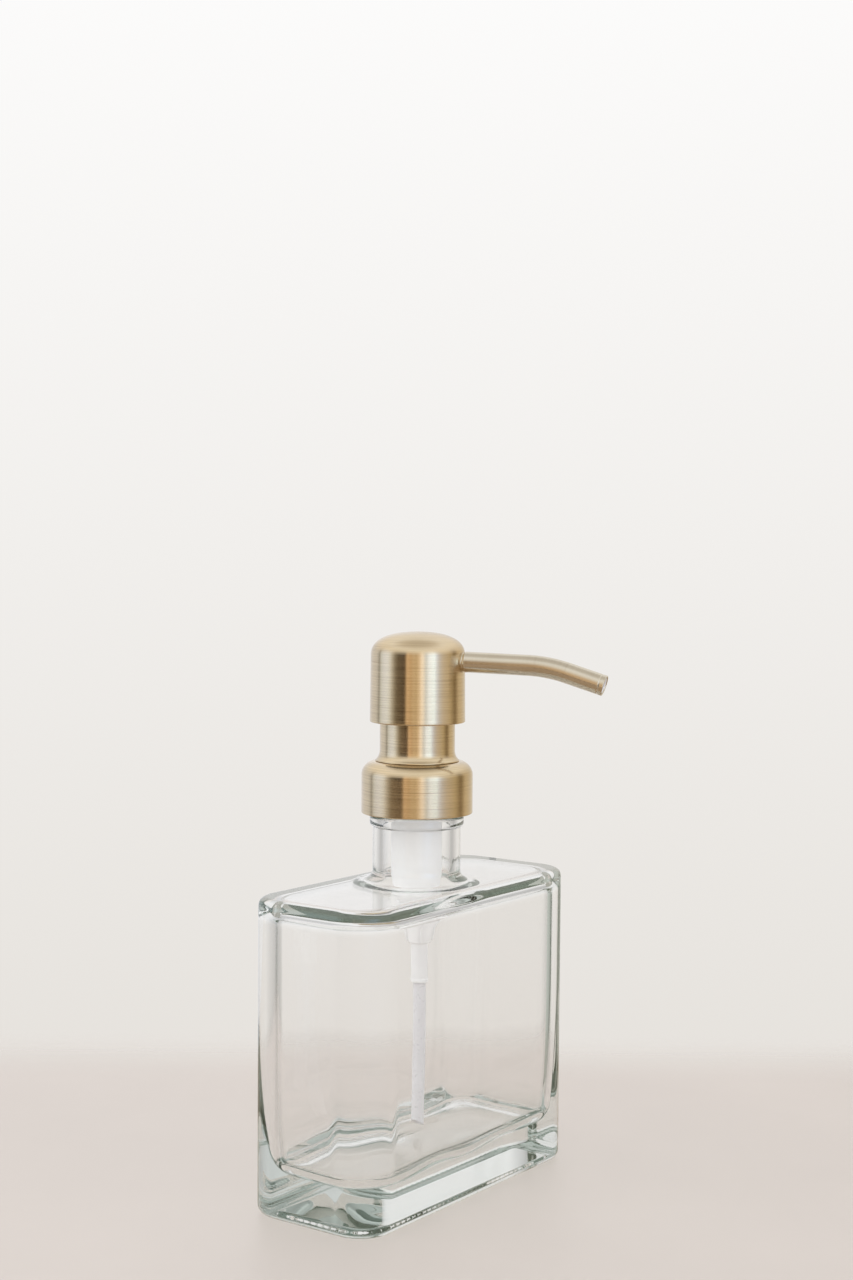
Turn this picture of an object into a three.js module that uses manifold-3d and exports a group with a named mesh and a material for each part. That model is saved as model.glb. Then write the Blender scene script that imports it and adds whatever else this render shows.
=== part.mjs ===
// A soap pump dispenser: a heavy rectangular glass bottle, a screw-on lotion pump, and a brass head with a spout.
// Millimetres, +Z up. The origin is the centre of the bottle's underside. X runs along the bottle's wide face.
import * as THREE from "three";
import { mergeVertices } from "three/addons/utils/BufferGeometryUtils.js";
import Module from "manifold-3d";

const wasm = await Module();
wasm.setup();

// ---- Driving dimensions ----
const gap = 0.2; // between neighbours that touch in use
const runningGap = 0.3; // between pieces that slide or turn on each other

const bottleWidth = 100.6;
const bottleDepth = 44;
const bottleCornerRadius = 10.5;
const bottleEdgeRadius = 2.5; // at the heel and at the shoulder
const bottleBodyTop = 88;
const glassWall = 3.6;
const glassFloor = 11.6;
const glassCeiling = 4; // glass above the liquid, at the shoulder
const cavityCornerRadius = 7;
const cavityEdgeRadius = 5;

const threadPitch = 4.2333; // six turns to the inch, on a 28 mm neck
const threadTurns = 1.5;
const neckRadius = 12.6;
const threadRadius = 13.7;
const neckBore = 9.7;
const neckTop = 117.8;
const neckFilletRadius = 3;
const beadRadius = 13.5;
const beadBottom = 104.2;
const beadTop = 107.2;

const collarRadius = 16;
const collarBottom = 107.9;
const collarTop = 122.8;
const collarShoulderRadius = 4;
const collarHole = 10;
const shellWall = 0.5; // drawn brass
const capWeb = 1.2;

const sleeveRadius = 10.8;
const sleeveTop = 135.5;
const sleeveFootRadius = 11.7;
const sleeveFootHeight = 2;

const barrelRadius = 7.3;
const barrelBore = 6.4;
const barrelBottom = 81;
const barrelFloor = 83.5; // inside
const flangeThickness = 1.3;
const flangeRadius = 12;
const tailTopRadius = 4.75;
const tailBottomRadius = 3.3;
const tailBottom = 70.5;
const nozzleRadius = 2.4;
const nozzleBottom = 58.9;
const tubeRadius = 1.85;
const tubeBore = 1.3;
const tubeBottom = 15;

const stemRadius = 2.75;
const stemBore = 1.4;
const pinRadius = 1.1;
const pistonHeight = 6;
const pistonSlip = 0.8;
const pinFlangeRadius = 4.9;
const pinFlangeThickness = 1.5;
const pinFlangeTop = 103.3;
const springRadius = 4.5;
const springWire = 0.8;
const springTurns = 7;

const ballRadius = 2;
const ballLift = 1.2;

const stroke = 10;
const headRadiusTop = 13.5;
const headRadiusBottom = 13.7;
const headBottom = 134;
const headTop = 159.8;
const domeHeight = 6.8;
const domePower = 2.4;
const hubRadius = 4.4;
const coreRadius = 12.8;

const spoutRadius = 2.98;
const spoutWall = 0.4;
const spoutBore = 1.5;
const spoutHeight = 151.8; // of its centreline, above the base, on the head's axis
const spoutHeading = -68.8; // degrees from +X
const spoutFall = 1.6; // degrees below level where it leaves the head
const spoutEndFall = 17.4; // degrees below level at the tip
const spoutBendStart = 32; // from the head's axis
const spoutBendRadius = 42;
const spoutReach = 54.1; // from the head's axis to the middle of the tip
const spoutRoot = 6; // the tube starts here, inside the head

// ---- Facets ----
const wideSides = 40;
const smallSides = 20;
const domeSteps = 7;

const rad = THREE.MathUtils.degToRad;
const fullTurn = 2 * Math.PI;

// ---- Solids ----
// A closed geometry as a manifold solid, with shared vertices merged.
function toSolid(geometry) {
  const bare = geometry.clone();
  bare.deleteAttribute("normal");
  bare.deleteAttribute("uv");
  const merged = mergeVertices(bare, 1e-4);
  return new wasm.Manifold(
    new wasm.Mesh({
      numProp: 3,
      vertProperties: new Float32Array(merged.attributes.position.array),
      triVerts: new Uint32Array(merged.index.array),
    }),
  );
}

// A manifold solid as a three.js geometry.
function toGeometry(solid) {
  const mesh = solid.getMesh();
  const geometry = new THREE.BufferGeometry();
  geometry.setAttribute("position", new THREE.BufferAttribute(mesh.vertProperties, 3));
  geometry.setIndex(new THREE.BufferAttribute(mesh.triVerts, 1));
  geometry.computeVertexNormals();
  return geometry;
}

const union = (first, ...rest) => rest.reduce((sum, geometry) => sum.add(toSolid(geometry)), toSolid(first));
const cut = (solid, ...tools) => tools.reduce((left, geometry) => left.subtract(toSolid(geometry)), solid);

// A profile of [radius, height] pairs, counter-clockwise and closed or from axis to axis, turned about Z.
function turned(profile, sides = wideSides) {
  const points = profile.map(([radius, height]) => new THREE.Vector2(radius, height));
  return new THREE.LatheGeometry(points, sides).rotateX(Math.PI / 2);
}

// A ring, pipe or washer of rectangular section, turned about Z.
function ring(inner, outer, bottom, top, sides = wideSides) {
  return turned([[inner, bottom], [outer, bottom], [outer, top], [inner, top], [inner, bottom]], sides);
}

// A solid disc or rod about Z.
function rod(radius, bottom, top, sides = smallSides) {
  return turned([[0, bottom], [radius, bottom], [radius, top], [0, top]], sides);
}

// Points of an arc in a profile, about [radius, height], between two angles in degrees.
function arc(centre, radius, from, to, steps) {
  return Array.from({ length: steps + 1 }, (_, i) => {
    const angle = rad(from + ((to - from) * i) / steps);
    return [centre[0] + radius * Math.cos(angle), centre[1] + radius * Math.sin(angle)];
  });
}

// A rounded rectangle extruded from bottom to top, with its end edges rounded too.
function roundedBlock(width, depth, cornerRadius, edgeRadius, bottom, top) {
  const x = width / 2 - cornerRadius;
  const y = depth / 2 - cornerRadius;
  const outline = new THREE.Shape();
  outline.absarc(x, y, cornerRadius, 0, Math.PI / 2);
  outline.absarc(-x, y, cornerRadius, Math.PI / 2, Math.PI);
  outline.absarc(-x, -y, cornerRadius, Math.PI, 1.5 * Math.PI);
  outline.absarc(x, -y, cornerRadius, 1.5 * Math.PI, fullTurn);
  const block = new THREE.ExtrudeGeometry(outline, {
    depth: top - bottom - 2 * edgeRadius,
    curveSegments: 3, // an arc takes twice as many
    bevelThickness: edgeRadius,
    bevelSize: edgeRadius,
    bevelOffset: -edgeRadius,
    bevelSegments: 3,
  });
  return block.translate(0, 0, bottom + edgeRadius);
}

// A straight bar bent into a right-handed helix, from its top end down. The section is given as depth outward
// and height; place(turn) gives the radius and height of the section's origin after that many turns from the
// top, and swell(turn) scales its depth, so that a ridge can run out at its ends.
function wound(section, turns, stepsPerTurn, startTurn, place, swell = () => 1) {
  const outline = new THREE.Shape(section.map(([depth, height]) => new THREE.Vector2(depth, height)));
  const steps = Math.round(turns * stepsPerTurn);
  const bar = new THREE.ExtrudeGeometry(outline, { depth: turns, steps, bevelEnabled: false });
  const position = bar.attributes.position;
  for (let i = 0; i < position.count; i += 1) {
    const turn = position.getZ(i);
    const [radius, height] = place(turn);
    const reach = radius + position.getX(i) * swell(turn);
    const angle = (startTurn - turn) * fullTurn;
    position.setXYZ(i, reach * Math.cos(angle), reach * Math.sin(angle), height + position.getY(i));
  }
  return bar;
}

// ---- The screw thread of the neck and of the cap ----
const bottleThreadTop = neckTop - 2.4; // the ridge's middle at its upper end
const ridgeRoot = 1.15; // half the ridge's height at its root
const ridgeCrest = 0.6;
const ridgeBury = 0.6; // sunk into the wall that carries it
const ridgeRunOut = 0.12; // turns over which an end fades into the wall

// A ridge of the thread. towards is 1 for a ridge that stands outward from its wall, and -1 for one inward.
function threadRidge(wallRadius, depth, topHeight, turns, startTurn, towards) {
  const section = [
    [-ridgeBury * towards, -ridgeRoot],
    [depth * towards, -ridgeCrest],
    [depth * towards, ridgeCrest],
    [-ridgeBury * towards, ridgeRoot],
  ];
  const place = (turn) => [wallRadius, topHeight - threadPitch * turn];
  const swell = (turn) => THREE.MathUtils.clamp(Math.min(turn, turns - turn) / ridgeRunOut, 0.05, 1);
  return wound(section, turns, wideSides, startTurn, place, swell);
}

// ---- Bottle ----
// The heavy glass: a block with a thick floor, a low shoulder up to the neck, a bead and the neck's thread.
function glassBottle() {
  const body = roundedBlock(bottleWidth, bottleDepth, bottleCornerRadius, bottleEdgeRadius, 0, bottleBodyTop);
  const filletFoot = neckRadius + neckFilletRadius;
  const neck = turned([
    [0, bottleBodyTop - glassCeiling / 2],
    [filletFoot + neckFilletRadius, bottleBodyTop - glassCeiling / 2],
    [filletFoot + neckFilletRadius, bottleBodyTop],
    ...arc([filletFoot, bottleBodyTop + neckFilletRadius + 0.6], neckFilletRadius, 270, 180, 3),
    [neckRadius, beadBottom],
    ...arc([beadRadius - 0.9, beadBottom + 1], 0.9, 270, 360, 2),
    ...arc([beadRadius - 0.9, beadTop - 0.9], 0.9, 0, 90, 2),
    [neckRadius, beadTop],
    [neckRadius, neckTop - 0.5],
    [neckRadius - 0.5, neckTop],
    [0, neckTop],
  ]);
  const ridge = threadRidge(neckRadius, threadRadius - neckRadius, bottleThreadTop, threadTurns, 0, 1);
  const cavity = roundedBlock(
    bottleWidth - 2 * glassWall,
    bottleDepth - 2 * glassWall,
    cavityCornerRadius,
    cavityEdgeRadius,
    glassFloor,
    bottleBodyTop - glassCeiling,
  );
  const bore = rod(neckBore, bottleBodyTop - 2 * glassCeiling, neckTop + 1, wideSides);
  return toGeometry(cut(union(body, neck, ridge), cavity, bore));
}

// ---- Collar: the brass skin and the threaded cap inside it ----
// Half of the collar's section, set in from the outside by inset, from its bottom edge to its hole.
function collarOutline(inset, bottom, hole) {
  const centre = [collarRadius - collarShoulderRadius, collarTop - collarShoulderRadius];
  const shoulder = arc(centre, collarShoulderRadius - inset, 0, 90, 6);
  return [[collarRadius - inset, bottom], ...shoulder, [hole, collarTop - inset]];
}

function collarShell() {
  const outside = collarOutline(0, collarBottom, collarHole);
  const inside = collarOutline(shellWall, collarBottom, collarHole).reverse();
  return turned([...outside, ...inside, outside[0]]);
}

const capInset = shellWall + gap;
const capBottom = collarBottom + 0.3;
const capThreadRoot = threadRadius + 0.4;
const capWebTop = collarTop - capInset;
const capHole = 9;

// The moulded cap: a threaded skirt under a web that clamps the pump's flange down on the neck.
function threadedCap() {
  const outside = collarOutline(capInset, capBottom, capHole);
  const inside = [
    [capHole, capWebTop - capWeb],
    [capThreadRoot, capWebTop - capWeb],
    [capThreadRoot, capBottom],
  ];
  const skirt = turned([...outside, ...inside, outside[0]]);
  const depth = capThreadRoot - neckRadius - 0.4;
  const ridgeTurns = 1.2;
  const ridgeBottomTurn = -0.95; // from the upper end of the neck's ridge; half a pitch below it all the way
  const topTurn = ridgeBottomTurn + ridgeTurns;
  const topHeight = bottleThreadTop + threadPitch * (topTurn - 0.5);
  const ridge = threadRidge(capThreadRoot, depth, topHeight, ridgeTurns, topTurn, -1);
  return toGeometry(union(skirt, ridge));
}

// ---- Pump: what stays still on the neck ----
const gasketBottom = neckTop + gap;
const gasketThickness = 0.7;
const flangeBottom = gasketBottom + gasketThickness + gap;
const flangeTop = flangeBottom + flangeThickness;
const housingMouthRadius = capHole - 0.4;
const housingTop = capWebTop + gap;
const chapletShoulderBottom = housingTop + gap;
const chapletShoulderTop = chapletShoulderBottom + 3.5;
const chapletNeckRadius = sleeveRadius - shellWall - gap;
const chapletNeckWall = 1.3;
const pistonTop = pinFlangeTop + gap + pistonHeight;
const stemShoulderBottom = pistonTop + pistonSlip + gap;
const stemShoulderTop = stemShoulderBottom + 1.2;
const chapletBottom = stemShoulderTop + gap;

// The brass sleeve between the collar and the head, with a concave flare at its foot.
function sleeveShell() {
  const foot = collarTop + gap;
  const flareRise = sleeveFootHeight;
  const flareOut = sleeveFootRadius - sleeveRadius;
  const flare = Array.from({ length: 5 }, (_, i) => {
    const angle = (Math.PI / 2) * (i / 4);
    return [sleeveFootRadius - flareOut * Math.sin(angle), foot + flareRise * (1 - Math.cos(angle))];
  });
  const lip = 0.6; // the top rim rolls in by this much
  return turned([
    ...flare,
    [sleeveRadius, sleeveTop - lip],
    [sleeveRadius - lip / 2, sleeveTop],
    [sleeveRadius - shellWall - lip / 2, sleeveTop],
    [sleeveRadius - shellWall, sleeveTop - lip],
    [sleeveRadius - shellWall, foot],
    flare[0],
  ]);
}

// The chaplet snaps into the housing's mouth, guides the stem, holds the cap captive and carries the sleeve.
function chaplet() {
  const bore = stemRadius + runningGap;
  const plugRadius = barrelBore - gap;
  const neckTopHeight = sleeveTop - 0.8;
  return turned([
    [bore, chapletBottom],
    [plugRadius, chapletBottom],
    [plugRadius, chapletShoulderBottom],
    [collarHole - runningGap, chapletShoulderBottom],
    [collarHole - runningGap, collarTop + gap],
    [chapletNeckRadius, collarTop + 2 * gap],
    [chapletNeckRadius, neckTopHeight],
    [chapletNeckRadius - chapletNeckWall, neckTopHeight],
    [chapletNeckRadius - chapletNeckWall, chapletShoulderTop],
    [bore, chapletShoulderTop],
    [bore, chapletBottom],
  ]);
}

function rimGasket() {
  return ring(neckBore + gap, neckRadius - gap, gasketBottom, gasketBottom + gasketThickness);
}

const ballSeatAngle = Math.SQRT1_2; // the seat is a cone at 45 degrees
const ballChamberRadius = 2.5;
const seatTop = 73.6;
const seatBore = 1.2;
const seatBottom = seatTop - (ballChamberRadius - seatBore);
const ballHeight = seatTop - ballChamberRadius + (ballRadius + 0.05) / ballSeatAngle;
const ballChamberTop = ballHeight + ballRadius + ballLift + 0.3;
const ballNeck = 1.6; // the ring that keeps the ball in
const tubeSocketTop = 69;
const tubeSocketRadius = tubeRadius + 0.17;

// The pump's housing: flange, barrel, ribbed tail with the ball's chamber and seat, and the tube's nozzle.
function pumpHousing() {
  const tailTop = barrelBottom - 1.5;
  const wall = turned([
    [0, nozzleBottom],
    [nozzleRadius + 0.15, nozzleBottom],
    [nozzleRadius + 0.15, nozzleBottom + 0.8],
    [nozzleRadius, nozzleBottom + 0.9],
    [nozzleRadius, tailBottom],
    [tailBottomRadius, tailBottom],
    [tailTopRadius, tailTop],
    [barrelRadius - 1, barrelBottom],
    [barrelRadius, barrelBottom + 1],
    [barrelRadius, flangeBottom],
    [flangeRadius, flangeBottom],
    [flangeRadius, flangeTop],
    [housingMouthRadius, flangeTop],
    [housingMouthRadius, housingTop],
    [0, housingTop],
  ]);
  const passage = turned([
    [0, nozzleBottom - 1],
    [tubeSocketRadius, nozzleBottom - 1],
    [tubeSocketRadius, tubeSocketTop],
    [seatBore, tubeSocketTop],
    [seatBore, seatBottom],
    [ballChamberRadius, seatTop],
    [ballChamberRadius, ballChamberTop],
    [ballNeck, ballChamberTop + 0.6],
    [ballNeck, barrelFloor - 1.5],
    [barrelBore - 1, barrelFloor],
    [barrelBore, barrelFloor + 1],
    [barrelBore, housingTop + 1],
    [0, housingTop + 1],
  ]);
  const ribs = [0, 1, 2, 3].map((quarter) => tailRib(quarter * 90 + 45, tailTop));
  const vent = rod(0.5, 0, barrelRadius + 1, 12).rotateY(Math.PI / 2).translate(0, 0, chapletBottom - 1.2);
  return toGeometry(cut(union(wall, ...ribs), passage, vent));
}

// One of the four thin fins that stiffen the tail.
function tailRib(heading, tailTop) {
  const outline = new THREE.Shape([
    new THREE.Vector2(2, tailBottom + 0.4),
    new THREE.Vector2(tailBottomRadius + 0.5, tailBottom + 0.4),
    new THREE.Vector2(tailTopRadius + 0.9, tailTop),
    new THREE.Vector2(tailTopRadius + 0.9, tailTop + 0.8),
    new THREE.Vector2(2, tailTop + 0.8),
  ]);
  const thickness = 0.8;
  const rib = new THREE.ExtrudeGeometry(outline, { depth: thickness, bevelEnabled: false });
  return rib.translate(0, 0, -thickness / 2).rotateX(Math.PI / 2).rotateZ(rad(heading));
}

// The dip tube, pushed up into the nozzle, with its foot cut on a slant so that it can't seal on the floor.
function dipTube() {
  const pipe = union(ring(tubeBore, tubeRadius, tubeBottom, tubeSocketTop - gap, smallSides));
  const slant = new THREE.BoxGeometry(12, 12, 6).translate(0, 0, -3).rotateY(rad(35)).translate(0, 0, tubeBottom + 1);
  return toGeometry(cut(pipe, slant));
}

const springBottom = barrelFloor + gap;
const springTop = pinFlangeTop - pinFlangeThickness - gap;

// The compression spring, with its end coils closed.
function returnSpring() {
  const wire = springWire / 2;
  const section = Array.from({ length: 6 }, (_, i) => [wire * Math.cos(rad(60 * i)), wire * Math.sin(rad(60 * i))]);
  const closed = springWire / (springTop - springBottom - springWire);
  const open = (1 - 2 * closed) / (springTurns - 2);
  const travel = (turn) =>
    turn < 1 ? closed * turn : turn > springTurns - 1 ? 1 - closed * (springTurns - turn) : closed + open * (turn - 1);
  const place = (turn) => [springRadius, springTop - wire - (springTop - springBottom - springWire) * travel(turn)];
  return wound(section, springTurns, 16, 0, place);
}

// ---- The inlet valve's ball ----
function inletBall() {
  return new THREE.SphereGeometry(ballRadius, 16, 10).rotateX(Math.PI / 2);
}

// ---- Plunger: what goes down with the head but does not turn with it ----
const hubBottom = 137;
const stemTop = 145.8;

// The hollow stem, with the shoulder that drives the piston down.
function stem() {
  return turned(
    [
      [stemBore, pinFlangeTop + 2 * gap],
      [stemRadius, pinFlangeTop + 2 * gap],
      [stemRadius, stemShoulderBottom],
      [stemRadius + 1.4, stemShoulderBottom],
      [stemRadius + 1.4, stemShoulderTop],
      [stemRadius, stemShoulderTop],
      [stemRadius, stemTop - 0.5],
      [stemRadius - 0.5, stemTop],
      [stemBore, stemTop],
      [stemBore, pinFlangeTop + 2 * gap],
    ],
    smallSides,
  );
}

// The pin that is pressed into the stem's foot: its flange is the piston's seat and the spring's upper rest.
function valvePin() {
  return turned(
    [
      [0, pinFlangeTop - pinFlangeThickness - 1.5],
      [springRadius - springWire, pinFlangeTop - pinFlangeThickness - 1.5],
      [springRadius - springWire, pinFlangeTop - pinFlangeThickness],
      [pinFlangeRadius, pinFlangeTop - pinFlangeThickness],
      [pinFlangeRadius, pinFlangeTop],
      [pinRadius, pinFlangeTop],
      [pinRadius, pinFlangeTop + 9],
      [0, pinFlangeTop + 9.5],
    ],
    smallSides,
  );
}

// The soft piston: a sleeve round the stem's foot and a lip above and below that wipe the barrel.
function piston() {
  const bottom = pinFlangeTop + gap;
  const inner = stemRadius + runningGap;
  const lipRadius = barrelBore - gap;
  const waist = lipRadius - 1;
  return turned(
    [
      [inner, bottom],
      [inner + 1, bottom],
      [inner + 1, bottom + 1.6],
      [waist, bottom + 1.2],
      [lipRadius - 0.4, bottom],
      [lipRadius, bottom],
      [waist + 0.4, bottom + 2.2],
      [waist + 0.4, pistonTop - 2.2],
      [lipRadius, pistonTop],
      [lipRadius - 0.4, pistonTop],
      [waist, pistonTop - 1.2],
      [inner + 1, pistonTop - 1.6],
      [inner + 1, pistonTop],
      [inner, pistonTop],
      [inner, bottom],
    ],
    smallSides,
  );
}

// ---- Head ----
// The head's outside, set in by inset: straight sides with a little flare, under a superelliptic dome.
function headOutline(inset, bottom) {
  const springLine = headTop - domeHeight;
  const radius = headRadiusTop - inset;
  const height = domeHeight - inset;
  const dome = Array.from({ length: domeSteps + 1 }, (_, i) => {
    const angle = (Math.PI / 2) * (i / domeSteps);
    return [
      radius * Math.cos(angle) ** (2 / domePower),
      springLine + height * Math.sin(angle) ** (2 / domePower),
    ];
  });
  dome[domeSteps] = [0, springLine + height];
  return [[headRadiusBottom - inset, bottom], ...dome];
}

// The spout's centreline in the X-Z plane: level-ish, a slow bend, and a straight end.
function spoutLine(from) {
  const fall = rad(spoutFall);
  const endFall = rad(spoutEndFall);
  const start = new THREE.Vector3(from, 0, spoutHeight - from * Math.tan(fall));
  const bendIn = new THREE.Vector3(spoutBendStart, 0, spoutHeight - spoutBendStart * Math.tan(fall));
  const chord = spoutBendRadius * Math.tan((endFall - fall) / 2);
  const corner = bendIn.clone().add(new THREE.Vector3(Math.cos(fall), 0, -Math.sin(fall)).multiplyScalar(chord));
  const along = new THREE.Vector3(Math.cos(endFall), 0, -Math.sin(endFall));
  const bendOut = corner.clone().addScaledVector(along, chord);
  const tip = bendOut.clone().addScaledVector(along, (spoutReach - bendOut.x) / Math.cos(endFall));
  const line = new THREE.CurvePath();
  line.add(new THREE.LineCurve3(start, bendIn));
  line.add(new THREE.QuadraticBezierCurve3(bendIn, corner, bendOut));
  line.add(new THREE.LineCurve3(bendOut, tip));
  return line;
}

// A pipe along the spout's centreline, turned to the spout's heading. An inner radius of 0 makes it solid.
function spoutPipe(inner, outer, from, sides = smallSides) {
  const section = new THREE.Shape();
  section.absarc(0, 0, outer, 0, fullTurn);
  if (inner > 0) section.holes.push(new THREE.Path().absarc(0, 0, inner, 0, fullTurn));
  const line = spoutLine(from);
  const options = { steps: 14, curveSegments: sides / 2, extrudePath: line };
  return new THREE.ExtrudeGeometry(section, options).rotateZ(rad(spoutHeading));
}

function headShell() {
  const outside = headOutline(0, headBottom);
  const inside = headOutline(shellWall, headBottom).reverse();
  const cup = union(turned([...outside, ...inside.slice(0, -1), [headRadiusBottom - shellWall, headBottom], outside[0]]));
  return toGeometry(cut(cup, spoutPipe(0, spoutRadius + gap, spoutRoot + 1)));
}

// The moulded core that fills the head: a hub on the stem, a ring against the shell, and a duct to the spout.
function actuatorCore() {
  const ringBottom = sleeveTop + stroke + 0.7;
  const springLine = headTop - domeHeight;
  const dome = headOutline(shellWall + gap, ringBottom).slice(1);
  const shape = turned([[0, ringBottom], [coreRadius, ringBottom], ...dome]);
  const hollow = ring(hubRadius, coreRadius - 1.3, ringBottom - 1, springLine + 2);
  const ductRoof = springLine + 3;
  const duct = spoutPipe(0, spoutRadius + 1.2, 1);
  const ductInside = toSolid(duct).intersect(toSolid(rod(coreRadius - 0.5, ringBottom, ductRoof, wideSides)));
  const hub = rod(hubRadius, hubBottom, ringBottom + 2);
  const body = toSolid(shape).subtract(toSolid(hollow)).add(ductInside).add(toSolid(hub));
  const socket = rod(stemRadius + gap, hubBottom - 1, stemTop + gap);
  const riser = rod(stemBore, stemTop, spoutHeight);
  const spoutSocket = spoutPipe(0, spoutRadius + gap, spoutRoot - gap);
  const crossBore = spoutPipe(0, spoutBore, 0);
  return toGeometry(cut(body, socket, riser, spoutSocket, crossBore));
}

function spoutTube() {
  return toGeometry(toSolid(spoutPipe(spoutRadius - spoutWall, spoutRadius, spoutRoot)));
}

// The soft tube inside the spout, which keeps the soap off the metal.
function spoutLiner() {
  return toGeometry(toSolid(spoutPipe(spoutBore, spoutRadius - spoutWall - gap, spoutRoot, 16)));
}

// ---- Finishes ----
const finish = (color, roughness, metalness, more = {}) =>
  new THREE.MeshStandardMaterial({ color, roughness, metalness, ...more });
const clearGlass = finish(0xe9f0ee, 0.05, 0, { transparent: true, opacity: 0.35 });
const brushedBrass = finish(0xa8895c, 0.35, 1);
const polishedBrass = finish(0xb09468, 0.2, 1);
const whitePlastic = finish(0xf2f3f4, 0.45, 0);
const tubePlastic = finish(0xe6e6ea, 0.3, 0, { transparent: true, opacity: 0.6 });
const softPlastic = finish(0xe9e6dc, 0.5, 0);
const seal = finish(0xdcdcd6, 0.8, 0);
const springSteel = finish(0xb8bbbe, 0.3, 1);

function piece(name, geometry, material) {
  const mesh = new THREE.Mesh(geometry, material);
  mesh.name = name;
  return mesh;
}

// ---- Assembly ----
const bottle = new THREE.Group();
bottle.add(piece("glass_bottle", glassBottle(), clearGlass));

const cap = new THREE.Group();
cap.add(piece("collar_shell", collarShell(), brushedBrass));
cap.add(piece("threaded_cap", threadedCap(), whitePlastic));

const pump = new THREE.Group();
pump.add(piece("sleeve_shell", sleeveShell(), brushedBrass));
pump.add(piece("chaplet", chaplet(), whitePlastic));
pump.add(piece("rim_gasket", rimGasket(), seal));
pump.add(piece("pump_housing", pumpHousing(), whitePlastic));
pump.add(piece("dip_tube", dipTube(), tubePlastic));
pump.add(piece("return_spring", returnSpring(), springSteel));
const ball = piece("inlet_ball", inletBall(), springSteel);
ball.position.z = ballHeight;
pump.add(ball);

const plunger = new THREE.Group();
plunger.add(piece("stem", stem(), whitePlastic));
plunger.add(piece("valve_pin", valvePin(), whitePlastic));
plunger.add(piece("piston", piston(), softPlastic));

const head = new THREE.Group();
head.add(piece("head_shell", headShell(), brushedBrass));
head.add(piece("actuator_core", actuatorCore(), whitePlastic));
head.add(piece("spout_tube", spoutTube(), polishedBrass));
head.add(piece("spout_liner", spoutLiner(), tubePlastic));

const group = new THREE.Group();
group.add(bottle, cap, pump, plunger, head);

export default group;
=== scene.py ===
import bpy
import numpy as np
from mathutils import Matrix, Vector


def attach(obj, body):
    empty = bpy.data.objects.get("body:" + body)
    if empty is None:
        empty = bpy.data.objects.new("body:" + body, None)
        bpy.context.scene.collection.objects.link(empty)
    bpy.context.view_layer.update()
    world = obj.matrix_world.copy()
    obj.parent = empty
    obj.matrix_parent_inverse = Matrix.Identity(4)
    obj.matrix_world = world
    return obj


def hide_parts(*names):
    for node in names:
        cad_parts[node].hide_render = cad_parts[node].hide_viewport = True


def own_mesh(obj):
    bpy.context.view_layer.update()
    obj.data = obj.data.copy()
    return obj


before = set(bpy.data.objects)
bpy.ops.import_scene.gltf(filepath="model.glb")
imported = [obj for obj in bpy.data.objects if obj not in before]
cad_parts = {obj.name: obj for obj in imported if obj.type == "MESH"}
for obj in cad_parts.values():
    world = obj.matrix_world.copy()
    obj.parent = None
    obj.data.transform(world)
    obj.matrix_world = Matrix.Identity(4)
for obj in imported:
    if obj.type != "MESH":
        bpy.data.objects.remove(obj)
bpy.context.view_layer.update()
print("frame loaded:", len(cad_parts), "pieces")

mm = 0.001
fullTurn = 2 * np.pi
bpy.context.scene.view_settings.view_transform = "Standard"


# The camera.
view = {
    "azimuth": -53.787,  # degrees, 0 looks along +Y
    "elevation": 3.123,
    "roll": 0.416,
    "distance": 573.62,
    "aimSide": 2.425,  # the aim's offset to the right of the pump's axis
    "aimHeight": 157.392,
    "lens": 56.467,
}


def addCamera(spec):
    azimuth, elevation, roll = np.radians([spec["azimuth"], spec["elevation"], spec["roll"]])
    level = np.cos(elevation)
    back = Vector((np.sin(azimuth) * level, -np.cos(azimuth) * level, np.sin(elevation)))
    side = Vector((np.cos(azimuth), np.sin(azimuth), 0))
    up = back.cross(side)
    place = side * spec["aimSide"] + Vector((0, 0, spec["aimHeight"])) + back * spec["distance"]
    right = side * np.cos(roll) + up * np.sin(roll)
    top = up * np.cos(roll) - side * np.sin(roll)
    camera = bpy.data.objects.new("camera", bpy.data.cameras.new("camera"))
    camera.matrix_world = Matrix.Translation(place * mm) @ Matrix((right, top, back)).transposed().to_4x4()
    camera.data.lens = spec["lens"]
    camera.data.sensor_width = 36
    bpy.context.scene.collection.objects.link(camera)
    bpy.context.scene.camera = camera
    return back, side


viewBack, viewSide = addCamera(view)
viewLevel = Vector((viewBack.x, viewBack.y, 0)).normalized()


# Short ways to make shader nodes.
def addNode(tree, kind, **values):
    node = tree.nodes.new("ShaderNode" + kind)
    for key, value in values.items():
        if key in node.inputs:
            node.inputs[key].default_value = value
        else:
            setattr(node, key, value)
    return node


def math(tree, operation, first, second=None, third=None, clamp=False):
    node = addNode(tree, "Math", operation=operation, use_clamp=clamp)
    for socket, value in zip(node.inputs, (first, second, third)):
        if value is None:
            continue
        if isinstance(value, bpy.types.NodeSocket):
            tree.links.new(value, socket)
        else:
            socket.default_value = value
    return node.outputs[0]


def mixColours(tree, share, first, second, blend="MIX"):
    node = addNode(tree, "Mix", data_type="RGBA", blend_type=blend)
    for socket, value in ((node.inputs[0], share), (node.inputs[6], first), (node.inputs[7], second)):
        if isinstance(value, bpy.types.NodeSocket):
            tree.links.new(value, socket)
        else:
            socket.default_value = value
    return node.outputs[2]


def ramp(tree, factor, stops):
    node = addNode(tree, "ValToRGB")
    bar = node.color_ramp
    while len(bar.elements) < len(stops):
        bar.elements.new(1)
    for element, (place, colour) in zip(bar.elements, stops):
        element.position = place
        element.color = (*colour, 1)
    tree.links.new(factor, node.inputs[0])
    return node.outputs[0]


def stretched(tree, value, low, high, bottom, top):
    node = addNode(tree, "MapRange")
    for key, number in (("From Min", low), ("From Max", high), ("To Min", bottom), ("To Max", top)):
        node.inputs[key].default_value = number
    tree.links.new(value, node.inputs["Value"])
    return node.outputs["Result"]


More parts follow.
